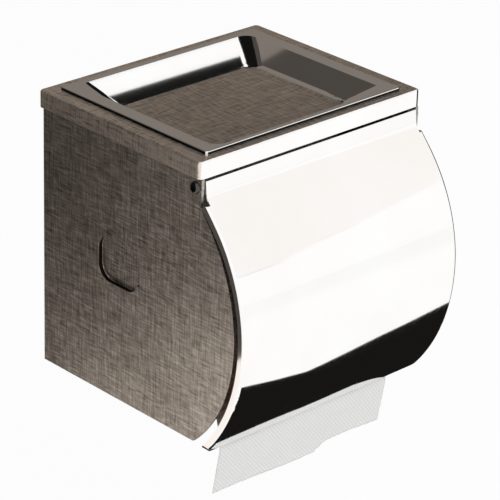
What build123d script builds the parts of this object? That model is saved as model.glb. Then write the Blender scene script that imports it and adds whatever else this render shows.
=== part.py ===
"""Wall-mounted toilet paper holder with a swing-up cover and a lift-out ash tray.

Millimetres. The origin is the centre of the four wall screw holes, on the wall plane.
X runs to the right as seen from the front, Y runs back into the wall, Z is up.
Depths are measured forward from the wall, and drops down from the flat top of the cap.
"""

from build123d import *
from math import hypot, sqrt
import os

os.makedirs("parts", exist_ok=True)

TOP = 65.0                      # flat top of the cap above the centre of the wall screw holes

# Sheet metal
BODY_SHEET = 0.8
CAP_SHEET = 0.6
COVER_SHEET = 0.6
TRAY_SHEET = 0.5
WELD_FLANGE = 5.0               # spot-welded flanges inside the body
SHEET_GAP = 0.2                 # between a sheet and the one that it slips into

# Cap
CAP_WIDTH = 130.0
CAP_DEPTH = 105.0
CAP_RIM = 7.8
CAP_CORNER = 2.2
CAP_EDGE = 0.9

# Side panels
PANEL_BACK = 2.5                # the panels stand this far off the wall
PANEL_BOTTOM = 130.6
PANEL_BULGE_LEAD = 21.8         # the curved front edge's furthest point, before the cap's front
PANEL_BULGE_DROP = 77.0
PANEL_UPPER_RADIUS = 82.0
PANEL_LOWER_RADIUS = 72.5
PANEL_TIP_RADIUS = 2.0
HINGE_ZONE_BOTTOM = 18.2        # the straight stretch beside the cover's ears ends here
NOTCH_BOTTOM = 20.6
LIP_WIDTH = 4.0                 # the front edge is turned in by this much
LIP_BOTTOM = 115.0
HINGE_LIP_WIDTH = 1.5

# Wall fixing
SCREW_SPACING_X = 80.0
SCREW_SPACING_Z = 60.0
SCREW_HOLE_RADIUS = 2.5
PAD_RADIUS = 9.0                # round pads pressed back to the wall around the screw holes

# Pressed boss in each side panel, which carries one end of the spindle
BOSS_LENGTH = 26.0
BOSS_HEIGHT = 21.5
BOSS_CORNER = 7.0
BOSS_PRESS = 2.5
BOSS_DEPTH = 52.7
BOSS_DROP = 65.0
SLIT_WIDTH = 1.2
SLIT_HEIGHT = 12.0

# Hinge
HINGE_SETBACK = 3.4             # behind the cap's front
HINGE_DROP = 12.2
SHANK_RADIUS = 1.5
RUNNING_FIT = 0.05
HEAD_RADIUS = 2.75
HEAD_HEIGHT = 1.7
HEAD_DOME = 1.3
RECESS_DEPTH = 0.9
RECESS_WIDTH = 0.8
RECESS_LENGTH = 3.0
WASHER_RADIUS = 2.45
WASHER_THICKNESS = 1.0
NUT_RADIUS = 2.75               # half the distance across its flats
NUT_THICKNESS = 2.4
SHANK_PAST_NUT = 0.6

# Cover
COVER_INSET = 0.5               # each side stands this far inside the cap's
COVER_TOP_LEAD = 0.4            # the top edge stands this far before the cap's front
COVER_TOP_DROP = 8.9
CREASE_LEAD = 1.3
CREASE_DROP = 16.4
CREASE_BEND = 6.0
SLANT_END_DROP = 24.0           # the straight slant runs into the upper curve here
COVER_BULGE_LEAD = 6.2          # before the side panels' bulge
COVER_BULGE_DROP = 76.0
COVER_UPPER_RADIUS = 78.0
COVER_LOWER_RADIUS = 86.0
COVER_BOTTOM = 133.4
COVER_EDGE_CROWN = 0.8
COVER_TIP_RADIUS = 3.0
COVER_RETURN = 3.4              # side edges turned back by this much
COVER_BEND = 1.1
COVER_STEP_DROP = 18.8          # the cover is full width below this
RETURN_TOP_DROP = 21.2          # and its turned-back sides start here, clear of the side panels
EAR_RADIUS = 3.4
EAR_BOTTOM = 16.2

# Ash tray
TRAY_SIDE_INSET = 7.5           # from the cap's sides
TRAY_BACK = 5.5
TRAY_FRONT_INSET = 4.8
TRAY_RIM_HEIGHT = 1.3
TRAY_RIM_CORNER = 1.5
TRAY_SIDE_RIM = 7.0
TRAY_BACK_RIM = 3.9
TRAY_FRONT_RIM = 2.2
TRAY_MOUTH_CORNER = 6.0
TRAY_FLOOR_DROP = 9.0
TRAY_SIDE_RUN = 8.5
TRAY_END_RUN = 13.0
TRAY_FLOOR_CORNER = 7.0
TRAY_BEND = 5.0                 # inside radius between its walls and its floor
TRAY_SEAT = 0.05
OPENING_GAP = 0.8               # between the tray's walls and the opening in the cap

# Spindle
SPINDLE_WALL = 1.2
SPINDLE_END_GAP = 0.2
BOSS_FIT = 0.2
PLUNGER_HEAD = 14.2             # the plunger's wide end, over the right boss
PLUNGER_TRAVEL = 5.0
STEM_FIT = 0.08
STEM_WALL = 1.0
STEM_END = 8.0
PARTITION_FACE = -12.5
SPRING_WIRE = 1.0
SPRING_TURNS = 6
SPRING_FIT = 0.8
SPRING_END_GAP = 0.1

# Paper roll
ROLL_WIDTH = 102.5
ROLL_MIDDLE = -3.0              # the roll has slid a little to the left
ROLL_RADIUS = 46.5
CORE_RADIUS = 20.0
CORE_WALL = 0.9
CORE_HANG = 0.3                 # between the spindle and the top of the core's bore
PAPER = 0.5
TAIL_CLEAR = 0.3                # between the roll and the tail
TAIL_LEAVES_DROP = 94.0         # the tail hangs straight down from the roll to here
TAIL_EXIT_DEPTH = 109.9
TAIL_EXIT_DROP = 134.0
TAIL_END_DEPTH = 104.9
TAIL_END_DROP = 161.7
TAIL_BEND = 30.0
TAIL_TEAR = 3.7                 # the torn edge steps up by this much
TEAR_LINE = ((-0.5, 0.54), (-0.335, 0.46), (0.02, 0.03), (0.1, 0.01), (0.18, 0.92), (0.34, 1.0), (0.5, 0.76))


# What follows from the sizes above
panel_face = CAP_WIDTH / 2 - CAP_SHEET - SHEET_GAP
panel_inside = panel_face - BODY_SHEET
panel_cap_depth = CAP_DEPTH - CAP_CORNER
panel_top = CAP_SHEET
weld_bottom = panel_top + BODY_SHEET
hinge_depth = CAP_DEPTH - HINGE_SETBACK
panel_bulge_depth = CAP_DEPTH + PANEL_BULGE_LEAD
back_face = PANEL_BACK + BODY_SHEET
back_front = back_face + BODY_SHEET
washer_face = panel_inside - WASHER_THICKNESS
ear_face = washer_face - 2 * RUNNING_FIT
ear_inside = ear_face - COVER_SHEET
nut_face = ear_inside - RUNNING_FIT
nut_inside = nut_face - NUT_THICKNESS
boss_reach = hypot(BOSS_LENGTH / 2 - BOSS_CORNER, BOSS_HEIGHT / 2 - BOSS_CORNER) + BOSS_CORNER + BODY_SHEET
spindle_bore = boss_reach + BOSS_FIT
spindle_radius = spindle_bore + SPINDLE_WALL
spindle_end = panel_inside - SPINDLE_END_GAP
plunger_start = spindle_end - PLUNGER_HEAD
sleeve_end = plunger_start - PLUNGER_TRAVEL
stem_radius = spindle_bore - STEM_FIT
roll_drop = BOSS_DROP + CORE_RADIUS - spindle_radius - CORE_HANG
tray_half = CAP_WIDTH / 2 - TRAY_SIDE_INSET
tray_front = CAP_DEPTH - TRAY_FRONT_INSET
tray_mouth_half = tray_half - TRAY_SIDE_RIM
tray_mouth_back = TRAY_BACK + TRAY_BACK_RIM
tray_mouth_front = tray_front - TRAY_FRONT_RIM
cover_half = CAP_WIDTH / 2 - COVER_INSET
cover_top_depth = CAP_DEPTH + COVER_TOP_LEAD
ear_root = cover_top_depth - COVER_SHEET / 2
cover_bulge_depth = panel_bulge_depth + COVER_BULGE_LEAD


def at(depth, drop):
    """A point of a side view, whose plane has the model's Y and Z."""
    return (-depth, TOP - drop)


def side_view(x):
    """The side view's plane at x."""
    return Plane.YZ.offset(x)


def front_view(depth):
    """The plane at a depth, seen from the front. Extruding from it goes forward."""
    return Plane.XZ.offset(depth)


def top_view(drop):
    """The plane at a drop below the cap's top. Extruding from it goes up."""
    return Plane.XY.offset(TOP - drop)


def curve_point(bulge_depth, bulge_drop, radius, drop):
    """A point at a drop on a round stretch that is upright at the bulge."""
    return at(bulge_depth - radius + sqrt(radius**2 - (drop - bulge_drop) ** 2), drop)


def panel_point(drop):
    """A point of the side panels' curved front edge."""
    radius = PANEL_UPPER_RADIUS if drop < PANEL_BULGE_DROP else PANEL_LOWER_RADIUS
    return curve_point(panel_bulge_depth, PANEL_BULGE_DROP, radius, drop)


def cover_point(drop):
    """A point of the round stretches of the cover's outer face."""
    radius = COVER_UPPER_RADIUS if drop < COVER_BULGE_DROP else COVER_LOWER_RADIUS
    return curve_point(cover_bulge_depth, COVER_BULGE_DROP, radius, drop)


def round_edge(point, start, bulge, end):
    """Two arcs that meet upright at the bulge, drawn in the open line."""
    ThreePointArc(point(start), point((start + bulge) / 2), point(bulge))
    ThreePointArc(point(bulge), point((bulge + end) / 2), point(end))


def export(part, name):
    """Label a finished piece and write it."""
    part.label = name
    export_step(part, f"parts/{name}.step")


def make_side_panel(side):
    """Side panel with its turned-in front edge, weld flanges, hinge hole and pressed boss."""
    with BuildPart() as side_panel:
        with BuildSketch(side_view(side * panel_face)):
            with BuildLine():
                Polyline(panel_point(PANEL_BOTTOM), at(PANEL_BACK, PANEL_BOTTOM), at(PANEL_BACK, panel_top),
                         at(panel_cap_depth, panel_top), at(panel_cap_depth, CAP_RIM + SHEET_GAP),
                         at(CAP_DEPTH, CAP_RIM + SHEET_GAP), at(CAP_DEPTH, HINGE_ZONE_BOTTOM),
                         panel_point(NOTCH_BOTTOM))
                round_edge(panel_point, NOTCH_BOTTOM, PANEL_BULGE_DROP, PANEL_BOTTOM)
            make_face()
            fillet(vertices().group_by(Axis.Y)[0].sort_by(Axis.X)[0], PANEL_TIP_RADIUS)
        extrude(amount=-side * BODY_SHEET)
        with BuildSketch(side_view(side * panel_face)):
            with BuildLine():
                round_edge(panel_point, NOTCH_BOTTOM, PANEL_BULGE_DROP, LIP_BOTTOM)
                offset(amount=BODY_SHEET, side=Side.LEFT)
            make_face()
        extrude(amount=-side * LIP_WIDTH)
        with BuildSketch(side_view(side * panel_face)):
            with BuildLine():
                Polyline(at(CAP_DEPTH, CAP_RIM + SHEET_GAP), at(CAP_DEPTH, HINGE_ZONE_BOTTOM),
                         at(CAP_DEPTH - BODY_SHEET, HINGE_ZONE_BOTTOM),
                         at(CAP_DEPTH - BODY_SHEET, CAP_RIM + SHEET_GAP), close=True)
            make_face()
        extrude(amount=-side * HINGE_LIP_WIDTH)
        with BuildSketch(side_view(side * panel_face)):
            with BuildLine():
                Polyline(at(PANEL_BACK, PANEL_BOTTOM), at(PANEL_BACK, panel_top),
                         at(panel_cap_depth, panel_top), at(panel_cap_depth, weld_bottom),
                         at(back_face, weld_bottom), at(back_face, PANEL_BOTTOM), close=True)
            make_face()
        extrude(amount=-side * (BODY_SHEET + WELD_FLANGE))
        with BuildSketch(side_view(side * panel_face)):
            with Locations(at(BOSS_DEPTH, BOSS_DROP)):
                RectangleRounded(BOSS_LENGTH + 2 * BODY_SHEET, BOSS_HEIGHT + 2 * BODY_SHEET,
                                 BOSS_CORNER + BODY_SHEET)
        extrude(amount=-side * (BODY_SHEET + BOSS_PRESS))
        with BuildSketch(side_view(side * panel_face)):
            with Locations(at(BOSS_DEPTH, BOSS_DROP)):
                RectangleRounded(BOSS_LENGTH, BOSS_HEIGHT, BOSS_CORNER)
        extrude(amount=-side * BOSS_PRESS, mode=Mode.SUBTRACT)
        with BuildSketch(side_view(side * panel_face)):
            with Locations(at(BOSS_DEPTH + (BOSS_LENGTH + BODY_SHEET) / 2, BOSS_DROP)):
                Rectangle(SLIT_WIDTH, SLIT_HEIGHT)
            with Locations(at(hinge_depth, HINGE_DROP)):
                Circle(SHANK_RADIUS + RUNNING_FIT)
        extrude(amount=-side * (BODY_SHEET + BOSS_PRESS), mode=Mode.SUBTRACT)
    return side_panel.part


def make_hinge_screw(side):
    """Domed screw with a cross recess, through the side panel, the washer, the ear and the nut."""
    with BuildPart() as hinge_screw:
        with BuildSketch(side_view(side * panel_face)):
            with Locations(at(hinge_depth, HINGE_DROP)):
                Circle(HEAD_RADIUS)
        extrude(amount=side * HEAD_HEIGHT)
        fillet(edges().group_by(Axis.X)[-1 if side > 0 else 0], HEAD_DOME)
        with BuildSketch(side_view(side * (panel_face + HEAD_HEIGHT))):
            with Locations(at(hinge_depth, HINGE_DROP)):
                Rectangle(RECESS_LENGTH, RECESS_WIDTH)
                Rectangle(RECESS_WIDTH, RECESS_LENGTH)
        extrude(amount=-side * RECESS_DEPTH, mode=Mode.SUBTRACT)
        with BuildSketch(side_view(side * panel_face)):
            with Locations(at(hinge_depth, HINGE_DROP)):
                Circle(SHANK_RADIUS)
        extrude(amount=-side * (panel_face - nut_inside + SHANK_PAST_NUT))
    return hinge_screw.part


def make_hinge_ring(face, thickness, radius, corners, side):
    """Washer, or nut if it has corners, on the screw's shank. The radius is to its flats."""
    with BuildPart() as hardware:
        with BuildSketch(side_view(side * face)):
            with Locations(at(hinge_depth, HINGE_DROP)):
                if corners:
                    RegularPolygon(radius, corners, major_radius=False)
                else:
                    Circle(radius)
                Circle(SHANK_RADIUS, mode=Mode.SUBTRACT)
        extrude(amount=-side * thickness)
    return hardware.part


# Side panels and hinge hardware
for side, word in ((-1, "left"), (1, "right")):
    export(make_side_panel(side), f"side_panel_{word}")
    export(make_hinge_screw(side), f"hinge_screw_{word}")
    export(make_hinge_ring(panel_inside, WASHER_THICKNESS, WASHER_RADIUS, 0, side), f"hinge_washer_{word}")
    export(make_hinge_ring(nut_face, NUT_THICKNESS, NUT_RADIUS, 6, side), f"hinge_nut_{word}")

# Back panel with four pads pressed back to the wall
with BuildPart() as back_panel:
    with BuildSketch(front_view(back_face)):
        with Locations((0, TOP - (weld_bottom + PANEL_BOTTOM) / 2)):
            Rectangle(2 * (panel_inside - SHEET_GAP), PANEL_BOTTOM - weld_bottom)
    extrude(amount=BODY_SHEET)
    with BuildSketch(front_view(back_face)):
        with Locations((0, TOP - (panel_top + weld_bottom) / 2)):
            Rectangle(2 * (panel_inside - WELD_FLANGE - SHEET_GAP), BODY_SHEET)
    extrude(amount=WELD_FLANGE)
    with BuildSketch(front_view(0)):
        with GridLocations(SCREW_SPACING_X, SCREW_SPACING_Z, 2, 2):
            Circle(PAD_RADIUS)
    extrude(amount=back_front)
    with BuildSketch(front_view(BODY_SHEET)):
        with GridLocations(SCREW_SPACING_X, SCREW_SPACING_Z, 2, 2):
            Circle(PAD_RADIUS - BODY_SHEET)
    extrude(amount=back_front, mode=Mode.SUBTRACT)
    with BuildSketch(front_view(0)):
        with GridLocations(SCREW_SPACING_X, SCREW_SPACING_Z, 2, 2):
            Circle(SCREW_HOLE_RADIUS)
    extrude(amount=BODY_SHEET, mode=Mode.SUBTRACT)
export(back_panel.part, "back_panel")

# Cap with its opening for the tray
opening_half = tray_mouth_half + OPENING_GAP
opening_back = tray_mouth_back - OPENING_GAP
opening_front = tray_mouth_front + OPENING_GAP
with BuildPart() as top_cap:
    with BuildSketch(top_view(CAP_RIM)):
        with Locations((0, -CAP_DEPTH / 2)):
            RectangleRounded(CAP_WIDTH, CAP_DEPTH, CAP_CORNER)
    extrude(amount=CAP_RIM)
    fillet(faces().sort_by(Axis.Z)[-1].edges(), CAP_EDGE)
    with BuildSketch(top_view(CAP_RIM)):
        with Locations((0, -CAP_DEPTH / 2)):
            RectangleRounded(CAP_WIDTH - 2 * CAP_SHEET, CAP_DEPTH - 2 * CAP_SHEET, CAP_CORNER - CAP_SHEET)
    extrude(amount=CAP_RIM - CAP_SHEET, mode=Mode.SUBTRACT)
    with BuildSketch(top_view(CAP_RIM)):
        with Locations((0, -(opening_back + opening_front) / 2)):
            RectangleRounded(2 * opening_half, opening_front - opening_back, TRAY_MOUTH_CORNER)
    extrude(amount=CAP_RIM, mode=Mode.SUBTRACT)
export(top_cap.part, "top_cap")


def tray_section(drop, swell):
    """The tray's hollow at a drop, swollen by a sheet for its outer face."""
    share = (drop + TRAY_RIM_HEIGHT) / (TRAY_FLOOR_DROP + TRAY_RIM_HEIGHT)
    half = tray_mouth_half - TRAY_SIDE_RUN * share + swell
    back = tray_mouth_back + TRAY_END_RUN * share - swell
    front = tray_mouth_front - TRAY_END_RUN * share + swell
    corner = TRAY_MOUTH_CORNER + (TRAY_FLOOR_CORNER - TRAY_MOUTH_CORNER) * share + swell
    with Locations((0, -(back + front) / 2)):
        RectangleRounded(2 * half, front - back, corner)


# Ash tray: a raised rim and a sunk dish
with BuildPart() as ash_tray:
    with BuildSketch(top_view(-TRAY_SEAT)):
        with Locations((0, -(TRAY_BACK + tray_front) / 2)):
            RectangleRounded(2 * tray_half, tray_front - TRAY_BACK, TRAY_RIM_CORNER)
    extrude(amount=TRAY_RIM_HEIGHT - TRAY_SEAT)
    fillet(faces().sort_by(Axis.Z)[-1].edges(), TRAY_SHEET)
    with BuildSketch(top_view(-TRAY_SEAT)):
        with Locations((0, -(TRAY_BACK + tray_front) / 2)):
            RectangleRounded(2 * (tray_half - TRAY_SHEET), tray_front - TRAY_BACK - 2 * TRAY_SHEET,
                             TRAY_RIM_CORNER - TRAY_SHEET)
    extrude(amount=TRAY_RIM_HEIGHT - TRAY_SEAT - TRAY_SHEET, mode=Mode.SUBTRACT)
    with BuildSketch(top_view(-TRAY_RIM_HEIGHT)):
        tray_section(-TRAY_RIM_HEIGHT, TRAY_SHEET)
    with BuildSketch(top_view(TRAY_FLOOR_DROP + TRAY_SHEET)):
        tray_section(TRAY_FLOOR_DROP, TRAY_SHEET)
    loft()
    fillet(faces().sort_by(Axis.Z)[0].edges(), TRAY_BEND + TRAY_SHEET)
    with BuildSketch(top_view(-TRAY_RIM_HEIGHT)):
        tray_section(-TRAY_RIM_HEIGHT, 0)
    with BuildSketch(top_view(TRAY_FLOOR_DROP)):
        tray_section(TRAY_FLOOR_DROP, 0)
    loft(mode=Mode.SUBTRACT)
    fillet(faces().filter_by(Plane.XY).sort_by(Axis.Z)[1].edges(), TRAY_BEND)
export(ash_tray.part, "ash_tray")

slant_end = cover_point(SLANT_END_DROP)
cover_tip = COVER_BOTTOM - COVER_EDGE_CROWN
far = CAP_DEPTH + CAP_WIDTH     # past everything, for cuts that go right through


def cover_line():
    """Outer face of the cover from its top edge down, drawn in the open line."""
    FilletPolyline(at(cover_top_depth, COVER_TOP_DROP), at(CAP_DEPTH + CREASE_LEAD, CREASE_DROP), slant_end,
                   radius=CREASE_BEND)
    round_edge(cover_point, SLANT_END_DROP, COVER_BULGE_DROP, COVER_BOTTOM + COVER_EDGE_CROWN)


def cover_strip(x, thickness):
    """Side view of the cover at x, between its outer face and a line set back from it."""
    with BuildSketch(side_view(x)) as strip:
        with BuildLine():
            cover_line()
            offset(amount=thickness, side=Side.LEFT)
        make_face()
    return strip.sketch


# Cover: a mirror-bright sheet with turned-back sides and two ears
with BuildLine(side_view(0)) as outer_line:
    cover_line()
with BuildPart() as front_cover:
    extrude(cover_strip(-cover_half, COVER_SHEET), amount=2 * cover_half)
    for side in (-1, 1):
        extrude(cover_strip(side * cover_half, COVER_RETURN), amount=-side * COVER_SHEET)
    bends = [edge for edge in edges() if abs(abs(edge.center().X) - cover_half) < COVER_BEND / 2
             and outer_line.line.distance_to(Vector(0, edge.center().Y, edge.center().Z)) < COVER_BEND / 2]
    fillet(bends, COVER_BEND)
    with BuildSketch(front_view(0)):
        for side in (-1, 1):
            with Locations((side * (ear_face + far / 2), TOP - COVER_STEP_DROP + far / 2)):
                Rectangle(far, far)
    extrude(amount=far, mode=Mode.SUBTRACT)
    with BuildSketch(front_view(0)):
        for side in (-1, 1):
            with Locations((side * (ear_face + far / 2), TOP - RETURN_TOP_DROP + far / 2)):
                Rectangle(far, far)
    extrude(amount=CAP_DEPTH + CREASE_LEAD, mode=Mode.SUBTRACT)
    for side in (-1, 1):
        with BuildSketch(side_view(side * ear_face)):
            with Locations(at(hinge_depth, HINGE_DROP)):
                Circle(EAR_RADIUS)
            with BuildLine():
                Polyline(at(hinge_depth, COVER_TOP_DROP), at(ear_root, COVER_TOP_DROP),
                         at(ear_root, EAR_BOTTOM), at(hinge_depth, EAR_BOTTOM), close=True)
            make_face()
            with Locations(at(hinge_depth, HINGE_DROP)):
                Circle(SHANK_RADIUS + RUNNING_FIT, mode=Mode.SUBTRACT)
        extrude(amount=-side * COVER_SHEET)
    with BuildSketch(front_view(0)):
        with BuildLine():
            Polyline((-cover_half, TOP - cover_tip), (-cover_half, TOP), (cover_half, TOP),
                     (cover_half, TOP - cover_tip))
            ThreePointArc((cover_half, TOP - cover_tip), (0, TOP - COVER_BOTTOM),
                          (-cover_half, TOP - cover_tip))
        make_face()
        fillet(vertices().group_by(Axis.Z)[0], COVER_TIP_RADIUS)
    extrude(amount=far, mode=Mode.INTERSECT)
export(front_cover.part, "front_cover")


def ring(x, drop, outer, inner):
    """Ring at x about the bosses' depth and a drop, or a disc if it has no inner radius."""
    with BuildSketch(side_view(x)) as ring_sketch:
        with Locations(at(BOSS_DEPTH, drop)):
            Circle(outer)
            if inner:
                Circle(inner, mode=Mode.SUBTRACT)
    return ring_sketch.sketch


# Spindle: a sleeve over the left boss, and a sprung plunger that slides in it, over the right boss
with BuildPart() as spindle_sleeve:
    extrude(ring(-spindle_end, BOSS_DROP, spindle_radius, spindle_bore), amount=spindle_end + sleeve_end)
    extrude(ring(PARTITION_FACE, BOSS_DROP, spindle_radius, 0), amount=-SPINDLE_WALL)
export(spindle_sleeve.part, "spindle_sleeve")

with BuildPart() as spindle_plunger:
    extrude(ring(plunger_start, BOSS_DROP, spindle_radius, spindle_bore), amount=spindle_end - plunger_start)
    extrude(ring(plunger_start, BOSS_DROP, spindle_radius, 0), amount=SPINDLE_WALL)
    extrude(ring(STEM_END, BOSS_DROP, stem_radius, stem_radius - STEM_WALL), amount=plunger_start - STEM_END)
    extrude(ring(STEM_END, BOSS_DROP, stem_radius, 0), amount=SPINDLE_WALL)
export(spindle_plunger.part, "spindle_plunger")

spring_radius = spindle_bore - SPRING_FIT - SPRING_WIRE / 2
spring_start = PARTITION_FACE + SPRING_END_GAP + SPRING_WIRE / 2
spring_length = STEM_END - SPRING_END_GAP - SPRING_WIRE / 2 - spring_start
with BuildPart() as spindle_spring:
    with BuildLine() as coil:
        Helix(pitch=spring_length / SPRING_TURNS, height=spring_length, radius=spring_radius,
              center=(spring_start, *at(BOSS_DEPTH, BOSS_DROP)), direction=(1, 0, 0))
    with BuildSketch(Plane(origin=coil.line @ 0, z_dir=coil.line % 0)):
        Circle(SPRING_WIRE / 2)
    sweep(path=coil.line, is_frenet=True)
export(spindle_spring.part, "spindle_spring")


# Paper roll on its cardboard core, which hangs on the spindle
roll_left = ROLL_MIDDLE - ROLL_WIDTH / 2
with BuildPart() as roll_core:
    extrude(ring(roll_left, roll_drop, CORE_RADIUS + CORE_WALL, CORE_RADIUS), amount=ROLL_WIDTH)
export(roll_core.part, "roll_core")

with BuildPart() as paper_roll:
    extrude(ring(roll_left, roll_drop, ROLL_RADIUS, CORE_RADIUS + CORE_WALL), amount=ROLL_WIDTH)
export(paper_roll.part, "paper_roll")

# Tail: down the front of the roll, forward to the cover's bottom edge, and curling back below it
tail_depth = BOSS_DEPTH + ROLL_RADIUS + TAIL_CLEAR + PAPER
with BuildPart() as paper_tail:
    with BuildSketch(side_view(roll_left)):
        with BuildLine():
            FilletPolyline(at(tail_depth, roll_drop), at(tail_depth, TAIL_LEAVES_DROP),
                           at(TAIL_EXIT_DEPTH, TAIL_EXIT_DROP), at(TAIL_END_DEPTH, TAIL_END_DROP),
                           radius=TAIL_BEND)
            offset(amount=PAPER, side=Side.LEFT)
        make_face()
    extrude(amount=ROLL_WIDTH)
    with BuildSketch(front_view(0)):
        with BuildLine():
            tear = [(ROLL_MIDDLE + ROLL_WIDTH * place, TOP - TAIL_END_DROP + TAIL_TEAR * height)
                    for place, height in TEAR_LINE]
            Polyline((tear[0][0], TOP - TAIL_END_DROP - TAIL_TEAR), *tear,
                     (tear[-1][0], TOP - TAIL_END_DROP - TAIL_TEAR), close=True)
        make_face()
    extrude(amount=far, mode=Mode.SUBTRACT)
export(paper_tail.part, "paper_tail")
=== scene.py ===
"""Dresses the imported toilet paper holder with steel, plastic and paper, and adds light and a camera.

Metres, in the CAD model's own frame, except where a comment says millimetres.
"""

import math

import bmesh
import bpy
from mathutils import Matrix, Vector, noise


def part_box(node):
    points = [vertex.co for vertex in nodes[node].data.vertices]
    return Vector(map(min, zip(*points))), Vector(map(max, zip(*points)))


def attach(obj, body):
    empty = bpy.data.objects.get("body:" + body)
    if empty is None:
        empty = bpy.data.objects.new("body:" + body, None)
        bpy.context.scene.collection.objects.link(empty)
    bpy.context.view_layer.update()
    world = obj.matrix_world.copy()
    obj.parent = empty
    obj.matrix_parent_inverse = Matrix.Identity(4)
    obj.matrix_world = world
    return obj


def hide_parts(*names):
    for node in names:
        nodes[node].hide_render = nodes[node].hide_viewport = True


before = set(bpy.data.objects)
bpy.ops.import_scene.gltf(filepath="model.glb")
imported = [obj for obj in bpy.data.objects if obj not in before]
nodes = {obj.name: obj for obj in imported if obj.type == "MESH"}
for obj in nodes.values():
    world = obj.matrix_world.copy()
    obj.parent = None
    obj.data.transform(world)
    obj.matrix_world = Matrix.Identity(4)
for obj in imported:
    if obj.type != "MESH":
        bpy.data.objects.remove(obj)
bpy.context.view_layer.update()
scene = bpy.context.scene

MM = 0.001

# Camera, fitted to the holder's corners in the photograph
AZIMUTH = math.radians(-43.854)
ELEVATION = math.radians(24.980)
ROLL = math.radians(1.751)
TARGET = Vector((7.565, -60.0, -11.98)) * MM
DISTANCE = 1.22335
FOCAL_PIXELS = 2730.77
PICTURE_PIXELS = 500
SENSOR = 36.0
CLIP_START = 0.05
CLIP_END = 30

# Linen steel: stops of (tone, display level, warmth), and where its polished and dark zones begin
LINEN_STOPS = ((0.15, 0.46, 0.06), (0.5, 0.70, 0.055), (0.85, 0.90, 0.04))
LINEN_BRIGHTEST = 0.96
LINEN_CONTRAST = 2.1
THREAD_DENSITY = 1300
THREAD_STRETCH = 0.09
SLANT_DENSITY = 1200
CAP_LIFT = 1.28
TRAY_LIFT = 1.14
ZONE_EDGE = 0.0001
WALL_EDGE = 0.0002
POLISH_EDGE = 0.0003
MIRROR_ROUGH = 0.05
POLISH_BEHIND_FRONT = 0.0007    # the cap is polished up to this far behind its front
LINEN_ABOVE_FLOOR = 0.0009      # the tray is linen up to this far above its underside
STEP_INSET = 0.0002             # the painted shade on the tray's outer step, inside its outline
STEP_BELOW_TOP = 0.0004         # and below its top bend
POCKET_MIDDLE = (-0.0527, 0.0)  # the pressed pocket in each side panel, about the spindle's axis in y and z
POCKET_HALF_LENGTH = 0.0133
POCKET_HALF_HEIGHT = 0.0110
POCKET_DEPTH = 0.0024
PAINTED_SHADE = (0.10, 0.05)        # display level and warmth of the painted shade on the tray's step and the pocket's walls

# Hanging paper, in millimetres: its path as (height, depth before the wall), and its torn edge as
# (share of the width, height above its end)
TAIL_PATH = ((-3.4, 99.75), (-29.0, 99.75), (-69.0, 109.65), (-96.7, 104.65))
TORN_EDGE = ((0.0, 2.0), (0.165, 1.7), (0.518, 0.1), (0.605, 0.05), (0.678, 3.4), (0.838, 3.7), (1.0, 2.8))
TORN_LIFT = 0.3
FIBRES = ((0.35, 60, 3.1), (0.2, 190, 7.7))     # reach, number across and seed
TAIL_SOFTNESS = 5.0             # each bend is spread this far up and down
TAIL_SAMPLES = 10
TAIL_INSET = 0.15               # clear of the CAD solid's sides
TAIL_THICKNESS = 0.16
TAIL_CELLS = 150
SWAY_WAVES = (3.5, 0.03, 5.0)   # number across, number per millimetre down, and seed
SWAY_HELD = 0.06
SWAY_LOOSE = 0.7

# Wound paper, in millimetres
ROLL_INSET = 0.1
ROLL_LAYERS = 34
ROLL_STEPS = 144
LAYER_HIGH = 0.10
LAYER_LOW = 0.42
ROLL_DISHING = 0.5
ROLL_ROUNDING = 0.5             # its layers end this far inside its outside
ROLL_SHOULDER = ((1.3, 0.2), (2.2, 0.0))        # in from its end, and in from its outside
ROLL_RINGS = (0.8, 0.5, 0.2, 0.0)               # shares of its half width, out from its middle
ROLL_WAVES = (60, 2)            # soft waves per metre along it, and how close they lie around it
ROLL_SOFTNESS = 0.12
SOFT_DEPTH = 3.0

# Stage
FLOOR_HEIGHT = -0.36
FLOOR_GLOW = 0.93
SOFT_LIGHT = 0.55
LAMP_AIM = Vector((0, -0.06, -0.01))

# Cards that only show in gloss: a dark one below, walls behind, shelves over the tray, one at the right
# side, and a pale one far in front
GROUND_HEIGHT = -0.22
GROUND_BACK = 0.04
GROUND_EDGE = ((-0.15, -0.30), (0.06, -0.275), (0.107, -0.243), (0.121, -0.218), (0.137, -0.200),
               (0.152, -0.203), (0.171, -0.209), (0.198, -0.219), (0.226, -0.227), (0.263, -0.241),
               (0.42, -0.30))
WALL_PLACE = 0.15
WALL_SPLIT = -0.08
WALL_STEP = -0.215
WALLS = (                       # name, x range, z range, display level and warmth
    ("wall_right", (WALL_SPLIT, 2.5), (-0.6, 1.6), 0.46, 0.06),
    ("wall_left_high", (-2.5, WALL_SPLIT), (WALL_STEP, 1.6), 0.27, 0.06),
    ("wall_left_low", (-2.5, WALL_SPLIT), (-1.2, WALL_STEP), 0.96, 0.03),
)
SHELF_HEIGHT = 0.16
SHELF_ENDS = (-0.02, 0.24)
SHELVES = (("dark_shelf_front", (-0.105, -0.0428)), ("dark_shelf_back", (-0.0325, 0.01)))
SIDE_PLACE = 0.5
SIDE_DEPTHS = (-0.45, 0.14)
SIDE_TOP = 0.3
PALE_PLACE = -1.2
PALE_EDGE = ((0.823, 0.60), (0.822, 0.34), (0.832, 0.285), (0.868, 0.281), (0.945, 0.365), (1.012, 0.409),
             (1.105, 0.502), (1.199, 0.585), (1.255, 0.68), (1.34, 0.78))
PALE_FAR = ((2.6, 1.6), (2.6, 2.6), (0.80, 2.6))
RIM_WIDTH = 0.010
RIM_SHIFT = 0.004


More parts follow.
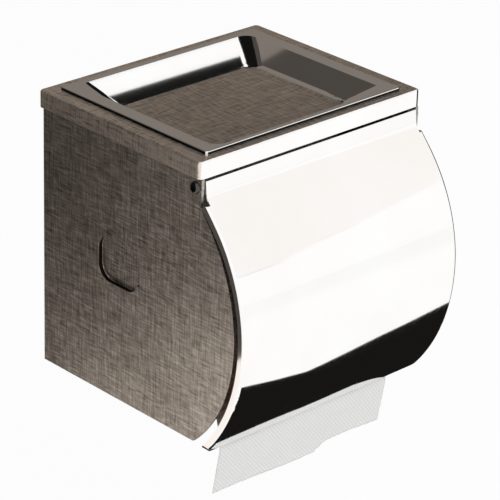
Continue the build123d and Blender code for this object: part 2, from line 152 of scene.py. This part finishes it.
def make_camera():
    """Camera at the photograph's viewing angle."""
    back = Vector((math.sin(AZIMUTH) * math.cos(ELEVATION), -math.cos(AZIMUTH) * math.cos(ELEVATION),
                   math.sin(ELEVATION)))
    right = (-back).cross(Vector((0, 0, 1))).normalized()
    up = right.cross(-back)
    turned_right = math.cos(ROLL) * right + math.sin(ROLL) * up
    turned_up = -math.sin(ROLL) * right + math.cos(ROLL) * up
    data = bpy.data.cameras.new("photo_camera")
    data.sensor_width = SENSOR
    data.lens = FOCAL_PIXELS / PICTURE_PIXELS * SENSOR
    data.clip_start = CLIP_START
    data.clip_end = CLIP_END
    camera = bpy.data.objects.new("photo_camera", data)
    scene.collection.objects.link(camera)
    turn = Matrix((turned_right, turned_up, back)).transposed()
    camera.matrix_world = Matrix.Translation(TARGET + back * DISTANCE) @ turn.to_4x4()
    scene.camera = camera


class Nodes:
    """Short calls for building a node tree."""

    def __init__(self, owner, output):
        owner.use_nodes = True
        self.tree = owner.node_tree
        self.tree.nodes.clear()
        self.surface = self.add(output).inputs["Surface"]

    def add(self, kind, **settings):
        """A new node with its settings."""
        node = self.tree.nodes.new(kind)
        for key, value in settings.items():
            setattr(node, key, value)
        return node

    def link(self, source, target):
        """Join two sockets."""
        self.tree.links.new(source, target)

    def math(self, operation, a, b, clamp=False):
        """Arithmetic on two sockets or numbers."""
        node = self.add("ShaderNodeMath", operation=operation, use_clamp=clamp)
        for socket, value in zip(node.inputs, (a, b)):
            if isinstance(value, (int, float)):
                socket.default_value = value
            else:
                self.link(value, socket)
        return node.outputs[0]

    def size_of(self, value):
        """A value without its sign."""
        return self.math("ABSOLUTE", value, 0)

    def seen_by(self, first, *others):
        """Factor that is 1 for the named kinds of ray."""
        path = self.add("ShaderNodeLightPath")
        factor = path.outputs[first]
        for ray in others:
            factor = self.math("MAXIMUM", factor, path.outputs[ray])
        return factor

    def mix_to_surface(self, factor, first, second):
        """Send two shaders to the surface, the second by the factor."""
        mix = self.add("ShaderNodeMixShader")
        self.link(factor, mix.inputs["Fac"])
        self.link(first, mix.inputs[1])
        self.link(second, mix.inputs[2])
        self.link(mix.outputs[0], self.surface)


class Shader(Nodes):
    """Short calls for building a material on one Principled shader."""

    def __init__(self, name):
        self.material = bpy.data.materials.new(name)
        super().__init__(self.material, "ShaderNodeOutputMaterial")
        self.body = self.add("ShaderNodeBsdfPrincipled")
        self.link(self.body.outputs[0], self.surface)
        self.place = self.add("ShaderNodeTexCoord").outputs["Object"]

    def set(self, **values):
        """Values on the shader's own sockets."""
        for key, value in values.items():
            self.body.inputs[key.replace("_", " ")].default_value = value

    def feed(self, colour, roughness=None):
        """Link the colour, and the roughness if it varies."""
        self.link(colour, self.body.inputs["Base Color"])
        if roughness is not None:
            self.link(roughness, self.body.inputs["Roughness"])

    def stretched(self, scale, turn=(0, 0, 0)):
        """The model's coordinates, scaled along each axis and turned."""
        mapping = self.add("ShaderNodeMapping")
        mapping.inputs["Scale"].default_value = scale
        mapping.inputs["Rotation"].default_value = [math.radians(t) for t in turn]
        self.link(self.place, mapping.inputs["Vector"])
        return mapping.outputs["Vector"]

    def noise(self, scale, detail, roughness=0.5, stretch=(1, 1, 1), turn=(0, 0, 0)):
        """Noise in the model's coordinates."""
        node = self.add("ShaderNodeTexNoise")
        node.inputs["Scale"].default_value = scale
        node.inputs["Detail"].default_value = detail
        node.inputs["Roughness"].default_value = roughness
        self.link(self.stretched(stretch, turn), node.inputs["Vector"])
        return node.outputs["Fac"]

    def ramp(self, factor, *stops):
        """Colours between stops of (position, colour)."""
        node = self.add("ShaderNodeValToRGB")
        elements = node.color_ramp.elements
        while len(elements) < len(stops):
            elements.new(0.5)
        for element, (position, colour) in zip(elements, stops):
            element.position = position
            element.color = (*colour, 1)
        self.link(factor, node.inputs["Fac"])
        return node.outputs["Color"]

    def blend(self, factor, first):
        """Node that blends a colour into another, whose socket is left to fill."""
        node = self.add("ShaderNodeMix", data_type="RGBA")
        self.link(factor, node.inputs["Factor"])
        self.link(first, node.inputs["A"])
        return node

    def spread(self, factor, low, high):
        """A factor of 0 to 1 taken to low to high."""
        node = self.add("ShaderNodeMapRange")
        node.inputs["To Min"].default_value = low
        node.inputs["To Max"].default_value = high
        self.link(factor, node.inputs["Value"])
        return node.outputs["Result"]

    def bump(self, height, distance, strength):
        """Fine relief."""
        node = self.add("ShaderNodeBump")
        node.inputs["Distance"].default_value = distance
        node.inputs["Strength"].default_value = strength
        self.link(height, node.inputs["Height"])
        self.link(node.outputs["Normal"], self.body.inputs["Normal"])

    def past(self, value, limit, edge):
        """Factor that is 1 where the value is past the limit, softened over an edge."""
        return self.math("MULTIPLY", self.math("SUBTRACT", value, limit), 1 / edge, clamp=True)

    def inverse(self, factor):
        """1 less a factor."""
        return self.math("SUBTRACT", 1.0, factor)


def grey(level, warm=0.0):
    """A grey of a display level, drawn towards brown."""
    def linear(value):
        return ((value + 0.055) / 1.055) ** 2.4 if value > 0.04045 else value / 12.92
    return tuple(linear(level * shift) for shift in (1 + warm, 1, 1 - warm))


def linen_weave(s):
    """Factor of the linen-rolled surface: long fine threads both ways, with a few slanting ones."""
    thin = THREAD_STRETCH
    upright = s.noise(THREAD_DENSITY, 2.0, 0.6, stretch=(thin, 1.0, thin))
    level = s.noise(THREAD_DENSITY, 2.0, 0.6, stretch=(1.0, thin, 1.0))
    slanting = s.noise(SLANT_DENSITY, 1.0, stretch=(1.0, 0.2, 1.0), turn=(38, 20, 40))
    crossed = s.math("MULTIPLY", s.math("ADD", upright, level), 0.4)
    return s.math("ADD", crossed, s.math("MULTIPLY", slanting, 0.2))


def mirror_colour(s):
    """Colour of polished steel with the faintest smears."""
    smear = s.noise(30, 3.0)
    return s.ramp(smear, (0.3, grey(0.985, 0.006)), (0.7, grey(0.998, 0.002)))


def make_linen_steel(name, lift=1.0, polished=None, painted_shade_zone=None):
    """Dull brown-grey steel with a fine rolled linen pattern.

    It is polished where an axis is past a limit, given as (axis, limit, sign), and darkened with painted
    shade in its shaded zone.
    """
    s = Shader(name)
    weave = linen_weave(s)
    slow = s.noise(9, 1.0)
    tone = s.math("ADD", s.math("MULTIPLY", s.math("SUBTRACT", weave, 0.5), LINEN_CONTRAST),
                  s.math("ADD", s.math("MULTIPLY", slow, 0.5), 0.25))
    colour = s.ramp(tone, *((tone_stop, grey(min(level * lift, LINEN_BRIGHTEST), warm))
                            for tone_stop, level, warm in LINEN_STOPS))
    rough = s.spread(weave, 0.30, 0.52)
    height = weave
    split = s.add("ShaderNodeSeparateXYZ")
    s.link(s.place, split.inputs[0])
    if polished:
        axis, limit, sign = polished
        beyond = s.math("SUBTRACT", split.outputs[axis], limit)
        mask = s.math("MULTIPLY", beyond, sign / POLISH_EDGE, clamp=True)
        dull = s.inverse(mask)
        blend = s.blend(mask, colour)
        s.link(mirror_colour(s), blend.inputs["B"])
        colour = blend.outputs["Result"]
        rough = s.math("ADD", s.math("MULTIPLY", rough, dull), s.math("MULTIPLY", mask, MIRROR_ROUGH))
        height = s.math("MULTIPLY", weave, dull)
    # painted shade: darkens the zone where shade falls, as given by the zone's mask
    if painted_shade_zone:
        shade = s.blend(painted_shade_zone(s, split), colour)
        shade.inputs["B"].default_value = (*grey(*PAINTED_SHADE), 1)
        colour = shade.outputs["Result"]
    s.feed(colour, rough)
    s.set(Metallic=1.0)
    s.bump(height, 0.00016, 0.8)
    return s.material


def painted_step_shade(s, split):
    """Painted shade on the tray's outer step, where its downturned edge meets the cap."""
    low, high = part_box("ash_tray")
    middle, half = (low + high) / 2, (high - low) / 2
    from_middle = s.size_of(s.math("SUBTRACT", split.outputs[1], middle.y))
    aside = s.past(s.size_of(split.outputs[0]), half.x - STEP_INSET, ZONE_EDGE)
    at_ends = s.past(from_middle, half.y - STEP_INSET, ZONE_EDGE)
    below = s.inverse(s.past(split.outputs[2], high.z - STEP_BELOW_TOP, ZONE_EDGE))
    return s.math("MULTIPLY", s.math("MAXIMUM", aside, at_ends), below)


def painted_pocket_shade(s, split):
    """Painted shade on the walls of the side panels' pressed pockets."""
    panel_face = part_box("side_panel_right")[1].x
    middle_y, middle_z = POCKET_MIDDLE
    across = s.size_of(split.outputs[0])
    from_y = s.size_of(s.math("SUBTRACT", split.outputs[1], middle_y))
    from_z = s.size_of(s.math("SUBTRACT", split.outputs[2], middle_z))
    outside = s.math("MAXIMUM", s.past(from_y, POCKET_HALF_LENGTH, POLISH_EDGE),
                     s.past(from_z, POCKET_HALF_HEIGHT, POLISH_EDGE))
    walls = s.math("MULTIPLY", s.past(across, panel_face - POCKET_DEPTH, WALL_EDGE),
                   s.inverse(s.past(across, panel_face - 2 * WALL_EDGE, WALL_EDGE)))
    return s.math("MULTIPLY", walls, s.inverse(outside))


def make_mirror_steel():
    """Polished steel, not quite flat, with faint hairlines."""
    s = Shader("mirror_steel")
    hair = s.noise(900, 2.0, stretch=(1, 1, 0.05))
    s.feed(mirror_colour(s), s.spread(hair, 0.035, 0.075))
    s.set(Metallic=1.0)
    s.bump(s.noise(16, 1.5, stretch=(0.6, 1, 1)), 0.00006, 1.0)
    return s.material


def make_plain_steel(name, level, rough):
    """Mill-finished sheet with rolling lines."""
    s = Shader(name)
    lines = s.noise(700, 3.0, stretch=(0.08, 1, 1))
    colour = s.ramp(lines, (0.25, grey(level * 0.9, 0.02)), (0.75, grey(level * 1.05, 0.015)))
    s.feed(colour, s.spread(lines, rough * 0.8, rough * 1.3))
    s.set(Metallic=1.0)
    s.bump(lines, 0.00003, 0.5)
    return s.material


def make_plastic(name, warm, rough):
    """Pale moulded plastic with a fine pebbled skin."""
    s = Shader(name)
    skin = s.noise(1600, 2.0)
    cloud = s.noise(60, 2.0)
    level = 0.86
    colour = s.ramp(cloud, (0.3, grey(level * 0.97, warm)), (0.7, grey(level, warm)))
    s.feed(colour, s.spread(skin, rough * 0.85, rough * 1.2))
    s.bump(skin, 0.00004, 0.4)
    return s.material


def make_cardboard():
    """Grey-brown board with the wound ply's slanting seam and fibres."""
    s = Shader("core_cardboard")
    fibre = s.noise(900, 4.0, 0.7)
    ply = s.noise(160, 2.0, stretch=(0.3, 1, 1), turn=(0, 35, 0))
    mixed = s.math("ADD", s.math("MULTIPLY", fibre, 0.6), s.math("MULTIPLY", ply, 0.4))
    s.feed(s.ramp(mixed, (0.3, grey(0.5, 0.17)), (0.7, grey(0.68, 0.13))))
    s.set(Roughness=0.9)
    s.bump(mixed, 0.0002, 0.5)
    return s.material


def make_paper():
    """Soft white tissue with fine slanting pressed ribs."""
    s = Shader("tissue")
    fibre = s.noise(1100, 4.0, 0.7)
    wave = s.add("ShaderNodeTexWave", wave_type="BANDS", bands_direction="X")
    wave.inputs["Scale"].default_value = 1.0
    wave.inputs["Distortion"].default_value = 1.2
    wave.inputs["Detail"].default_value = 2.0
    wave.inputs["Detail Scale"].default_value = 2.0
    s.link(s.stretched((230, 230, 230), (0, 42, 0)), wave.inputs["Vector"])
    mixed = s.math("ADD", s.math("MULTIPLY", fibre, 0.45), s.math("MULTIPLY", wave.outputs["Fac"], 0.55))
    s.feed(s.ramp(mixed, (0.2, grey(0.835, 0.006)), (0.8, grey(0.885, 0.004))))
    s.set(Roughness=0.95, Subsurface_Weight=0.08, Subsurface_Scale=0.002)
    s.bump(mixed, 0.00012, 0.5)
    return s.material


def dress(material, *names):
    """Give CAD nodes a material."""
    for name in names:
        node = nodes[name]
        node.data.materials.clear()
        node.data.materials.append(material)


def make_piece(form, name, material, body, replaced):
    """Piece of paper from a closed bmesh, riding on a body in place of a CAD node."""
    bmesh.ops.recalc_face_normals(form, faces=form.faces)
    mesh = bpy.data.meshes.new(name)
    form.to_mesh(mesh)
    form.free()
    mesh.shade_smooth()
    mesh.materials.append(material)
    piece = bpy.data.objects.new(name, mesh)
    scene.collection.objects.link(piece)
    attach(piece, body)
    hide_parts(replaced)
    return piece


def along(stops, place):
    """Value between stops of (place, value)."""
    for (low, start), (high, end) in zip(stops, stops[1:]):
        if place <= high:
            return start + (end - start) * (place - low) / (high - low)
    return stops[-1][1]


def tail_depth(height):
    """Depth of the tail's middle at a height, with its bends rounded, in millimetres."""
    down = tuple((-z, depth) for z, depth in TAIL_PATH)
    places = [-height + TAIL_SOFTNESS * (2 * i / TAIL_SAMPLES - 1) for i in range(TAIL_SAMPLES + 1)]
    return sum(along(down, max(place, down[0][0])) for place in places) / (TAIL_SAMPLES + 1)


def tail_sway(share, height):
    """How far the tail waves off its path, in millimetres: a little where held, more where loose."""
    exit_height, end = TAIL_PATH[2][0], TAIL_PATH[-1][0]
    loose = max(0.0, (height - exit_height) / (end - exit_height))
    across, down, seed = SWAY_WAVES
    return noise.noise(Vector((share * across, height * down, seed))) * (SWAY_HELD + SWAY_LOOSE * loose)


def tail_end(share):
    """Height of the torn edge at a share of its width, with its fibres, in millimetres."""
    fibres = sum(reach * noise.noise(Vector((share * count, seed, 0))) for reach, count, seed in FIBRES)
    return TAIL_PATH[-1][0] + along(TORN_EDGE, share) + fibres + TORN_LIFT


def make_tail(tissue):
    """Hanging tissue: thin, a little wavy, its end torn with a step and small fibres."""
    low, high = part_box("paper_tail")
    inset = TAIL_INSET * MM
    top = TAIL_PATH[0][0]
    cells = range(TAIL_CELLS)
    form = bmesh.new()
    sheets = {side: [] for side in (-1, 1)}
    for i in range(TAIL_CELLS + 1):
        share = i / TAIL_CELLS
        x = low.x + inset + (high.x - low.x - 2 * inset) * share
        end = tail_end(share)
        columns = {side: [] for side in (-1, 1)}
        for j in range(TAIL_CELLS + 1):
            z = top + (end - top) * j / TAIL_CELLS
            depth = tail_depth(z) + tail_sway(share, z)
            for side, column in columns.items():
                y = side * TAIL_THICKNESS / 2 - depth
                column.append(form.verts.new((x, y * MM, z * MM)))
        for side, column in columns.items():
            sheets[side].append(column)
    for i in cells:
        for j in cells:
            for side, sheet in sheets.items():
                column, after = sheet[i], sheet[i + 1]
                loop = (column[j], column[j + 1], after[j + 1], after[j])
                form.faces.new(loop if side < 0 else loop[::-1])
    front, rear = sheets[-1], sheets[1]
    for j in cells:
        for i, way in ((0, 1), (TAIL_CELLS, -1)):
            loop = (front[i][j], rear[i][j], rear[i][j + 1], front[i][j + 1])
            form.faces.new(loop[::way])
    for i in cells:
        for j, way in ((0, -1), (TAIL_CELLS, 1)):
            loop = (front[i][j], rear[i][j], rear[i + 1][j], front[i + 1][j])
            form.faces.new(loop[::way])
    piece = make_piece(form, "hanging_paper", tissue, "tail", "paper_tail")


def roll_profile(low, middle, inner, outer):
    """Section of the wound paper as (place, radius): layered ends, soft shoulders and a smooth outside."""
    profile = [(low.x + ROLL_INSET * MM, inner)]
    for i in range(1, ROLL_LAYERS):
        share = i / ROLL_LAYERS
        ripple = LAYER_HIGH if i % 2 else LAYER_LOW
        place = low.x + (ripple + ROLL_DISHING * share ** 8) * MM
        profile.append((place, inner + (outer - ROLL_ROUNDING * MM - inner) * share))
    profile += [(low.x + from_end * MM, outer - drop * MM) for from_end, drop in ROLL_SHOULDER]
    profile += [(middle.x + (low.x - middle.x) * share, outer) for share in ROLL_RINGS]
    return profile + [(2 * middle.x - x, radius) for x, radius in profile[-2::-1]]


def make_roll(tissue):
    """Wound tissue: soft outside, closely layered ends."""
    low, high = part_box("paper_roll")
    core_low, core_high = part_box("roll_core")
    middle = (low + high) / 2
    outer = (high.y - low.y) / 2 - ROLL_INSET * MM
    inner = (core_high.y - core_low.y) / 2
    lengthwise, around = ROLL_WAVES
    form = bmesh.new()
    rings = []
    for x, radius in roll_profile(low, middle, inner, outer):
        ring = []
        for k in range(ROLL_STEPS):
            turn = 2 * math.pi * k / ROLL_STEPS
            aside, up = math.cos(turn), math.sin(turn)
            soft = ROLL_SOFTNESS * MM * noise.noise(Vector((x * lengthwise, aside * around, up * around)))
            reach = radius - abs(soft) if radius > outer - SOFT_DEPTH * MM else radius
            ring.append(form.verts.new((x, middle.y + reach * aside, middle.z + reach * up)))
        rings.append(ring)
    for ring, after in zip(rings, rings[1:] + rings[:1]):
        for k in range(ROLL_STEPS):
            beside = (k + 1) % ROLL_STEPS
            form.faces.new((ring[k], ring[beside], after[beside], after[k]))
    make_piece(form, "wound_paper", tissue, "roll", "paper_roll")


def make_world():
    """White all round for the camera and for gloss, a plain soft level for everything else."""
    world = bpy.data.worlds.new("studio")
    scene.world = world
    n = Nodes(world, "ShaderNodeOutputWorld")
    backgrounds = []
    for strength in (SOFT_LIGHT, 1.0):
        background = n.add("ShaderNodeBackground")
        background.inputs["Color"].default_value = (1, 1, 1, 1)
        background.inputs["Strength"].default_value = strength
        backgrounds.append(background.outputs[0])
    n.mix_to_surface(n.seen_by("Is Camera Ray", "Is Glossy Ray", "Is Transmission Ray"), *backgrounds)


def make_floor():
    """Pale floor well below the holder, which hangs on a wall."""
    mesh = bpy.data.meshes.new("floor")
    form = bmesh.new()
    bmesh.ops.create_grid(form, x_segments=2, y_segments=2, size=4.0)
    form.to_mesh(mesh)
    form.free()
    floor = bpy.data.objects.new("floor", mesh)
    floor.location = (0, 0, FLOOR_HEIGHT)
    scene.collection.objects.link(floor)
    s = Shader("floor_pale")
    cloud = s.noise(1.5, 2.0)
    s.feed(s.ramp(cloud, (0.3, grey(0.97)), (0.7, grey(0.985))))
    s.set(Roughness=0.9)
    glow = s.add("ShaderNodeEmission")
    share = s.math("MULTIPLY", s.seen_by("Is Camera Ray", "Is Glossy Ray"), FLOOR_GLOW)
    s.mix_to_surface(share, s.body.outputs[0], glow.outputs[0])
    mesh.materials.append(s.material)


def rectangle(axis, place, first, second):
    """Corners of a rectangle at a place on an axis, 0 to 2, between ranges on the other two axes."""
    corners = []
    for a, b in ((0, 0), (1, 0), (1, 1), (0, 1)):
        corner = [first[a], second[b]]
        corner.insert(axis, place)
        corners.append(corner)
    return corners


def make_card(name, corners, level, warm):
    """A card that only shows in gloss, so that polished steel has something to mirror."""
    mesh = bpy.data.meshes.new(name)
    mesh.from_pydata(corners, [], [tuple(range(len(corners)))])
    card = bpy.data.objects.new(name, mesh)
    scene.collection.objects.link(card)
    material = bpy.data.materials.new(name)
    n = Nodes(material, "ShaderNodeOutputMaterial")
    glow = n.add("ShaderNodeEmission")
    glow.inputs["Color"].default_value = (*grey(level, warm), 1)
    n.link(glow.outputs[0], n.surface)
    mesh.materials.append(material)
    card.visible_camera = False
    card.visible_diffuse = False
    card.visible_shadow = False
    card.visible_transmission = False


def make_cards():
    """What the polished steel mirrors."""
    ground = [(x, y, GROUND_HEIGHT) for x, y in GROUND_EDGE]
    ground += [(x, GROUND_BACK, GROUND_HEIGHT) for x in (GROUND_EDGE[-1][0], GROUND_EDGE[0][0])]
    make_card("dark_ground", ground, 0.085, 0.05)
    for name, widths, heights, level, warm in WALLS:
        make_card(name, rectangle(1, WALL_PLACE, widths, heights), level, warm)
    for name, depths in SHELVES:
        make_card(name, rectangle(2, SHELF_HEIGHT, SHELF_ENDS, depths), 0.07, 0.03)
    make_card("dark_side", rectangle(0, SIDE_PLACE, SIDE_DEPTHS, (FLOOR_HEIGHT, SIDE_TOP)), 0.06, 0.03)
    pale = [(x, PALE_PLACE, z) for x, z in PALE_EDGE + PALE_FAR]
    make_card("pale_panel", pale, 0.972, 0.010)
    behind = PALE_PLACE - RIM_WIDTH
    rim = [(x - RIM_SHIFT, behind, z - RIM_WIDTH) for x, z in PALE_EDGE]
    make_card("pale_panel_rim", rim + [(x, behind, z) for x, z in reversed(PALE_EDGE)], 0.87, 0.02)


def make_lamp(name, place, size, power):
    """Square lamp that points at the holder and doesn't show in gloss."""
    data = bpy.data.lights.new(name, "AREA")
    data.size = size
    data.energy = power
    lamp = bpy.data.objects.new(name, data)
    lamp.location = place
    lamp.rotation_euler = (Vector(place) - LAMP_AIM).to_track_quat("Z", "Y").to_euler()
    lamp.visible_glossy = False
    scene.collection.objects.link(lamp)


make_camera()
scene.view_settings.view_transform = "Standard"

cap_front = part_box("top_cap")[0].y + POLISH_BEHIND_FRONT
tray_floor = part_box("ash_tray")[0].z + LINEN_ABOVE_FLOOR
# The side panels get painted shade on their pockets' walls, and the tray gets it on its outer step.
dress(make_linen_steel("linen_steel", painted_shade_zone=painted_pocket_shade), "side_panel_left", "side_panel_right")
dress(make_linen_steel("cap_steel", CAP_LIFT, polished=(1, cap_front, -1)), "top_cap")
dress(make_linen_steel("tray_steel", TRAY_LIFT, polished=(2, tray_floor, 1), painted_shade_zone=painted_step_shade), "ash_tray")
dress(make_mirror_steel(), "front_cover")
dress(make_plain_steel("inner_steel", 0.72, 0.35), "back_panel")
dress(make_plain_steel("screw_steel", 0.34, 0.12),
      "hinge_screw_left", "hinge_screw_right", "hinge_nut_left", "hinge_nut_right")
dress(make_plain_steel("spring_steel", 0.6, 0.25), "spindle_spring")
dress(make_plastic("washer_nylon", 0.02, 0.5), "hinge_washer_left", "hinge_washer_right")
dress(make_plastic("spindle_plastic", 0.01, 0.32), "spindle_sleeve", "spindle_plunger")
dress(make_cardboard(), "roll_core")

soft_tissue = make_paper()
make_roll(soft_tissue)
make_tail(soft_tissue)

make_world()
make_floor()
make_cards()
make_lamp("key_lamp", (-0.9, -1.5, 1.3), 0.9, 16)
make_lamp("fill_lamp", (1.2, -1.2, 0.7), 1.0, 9)
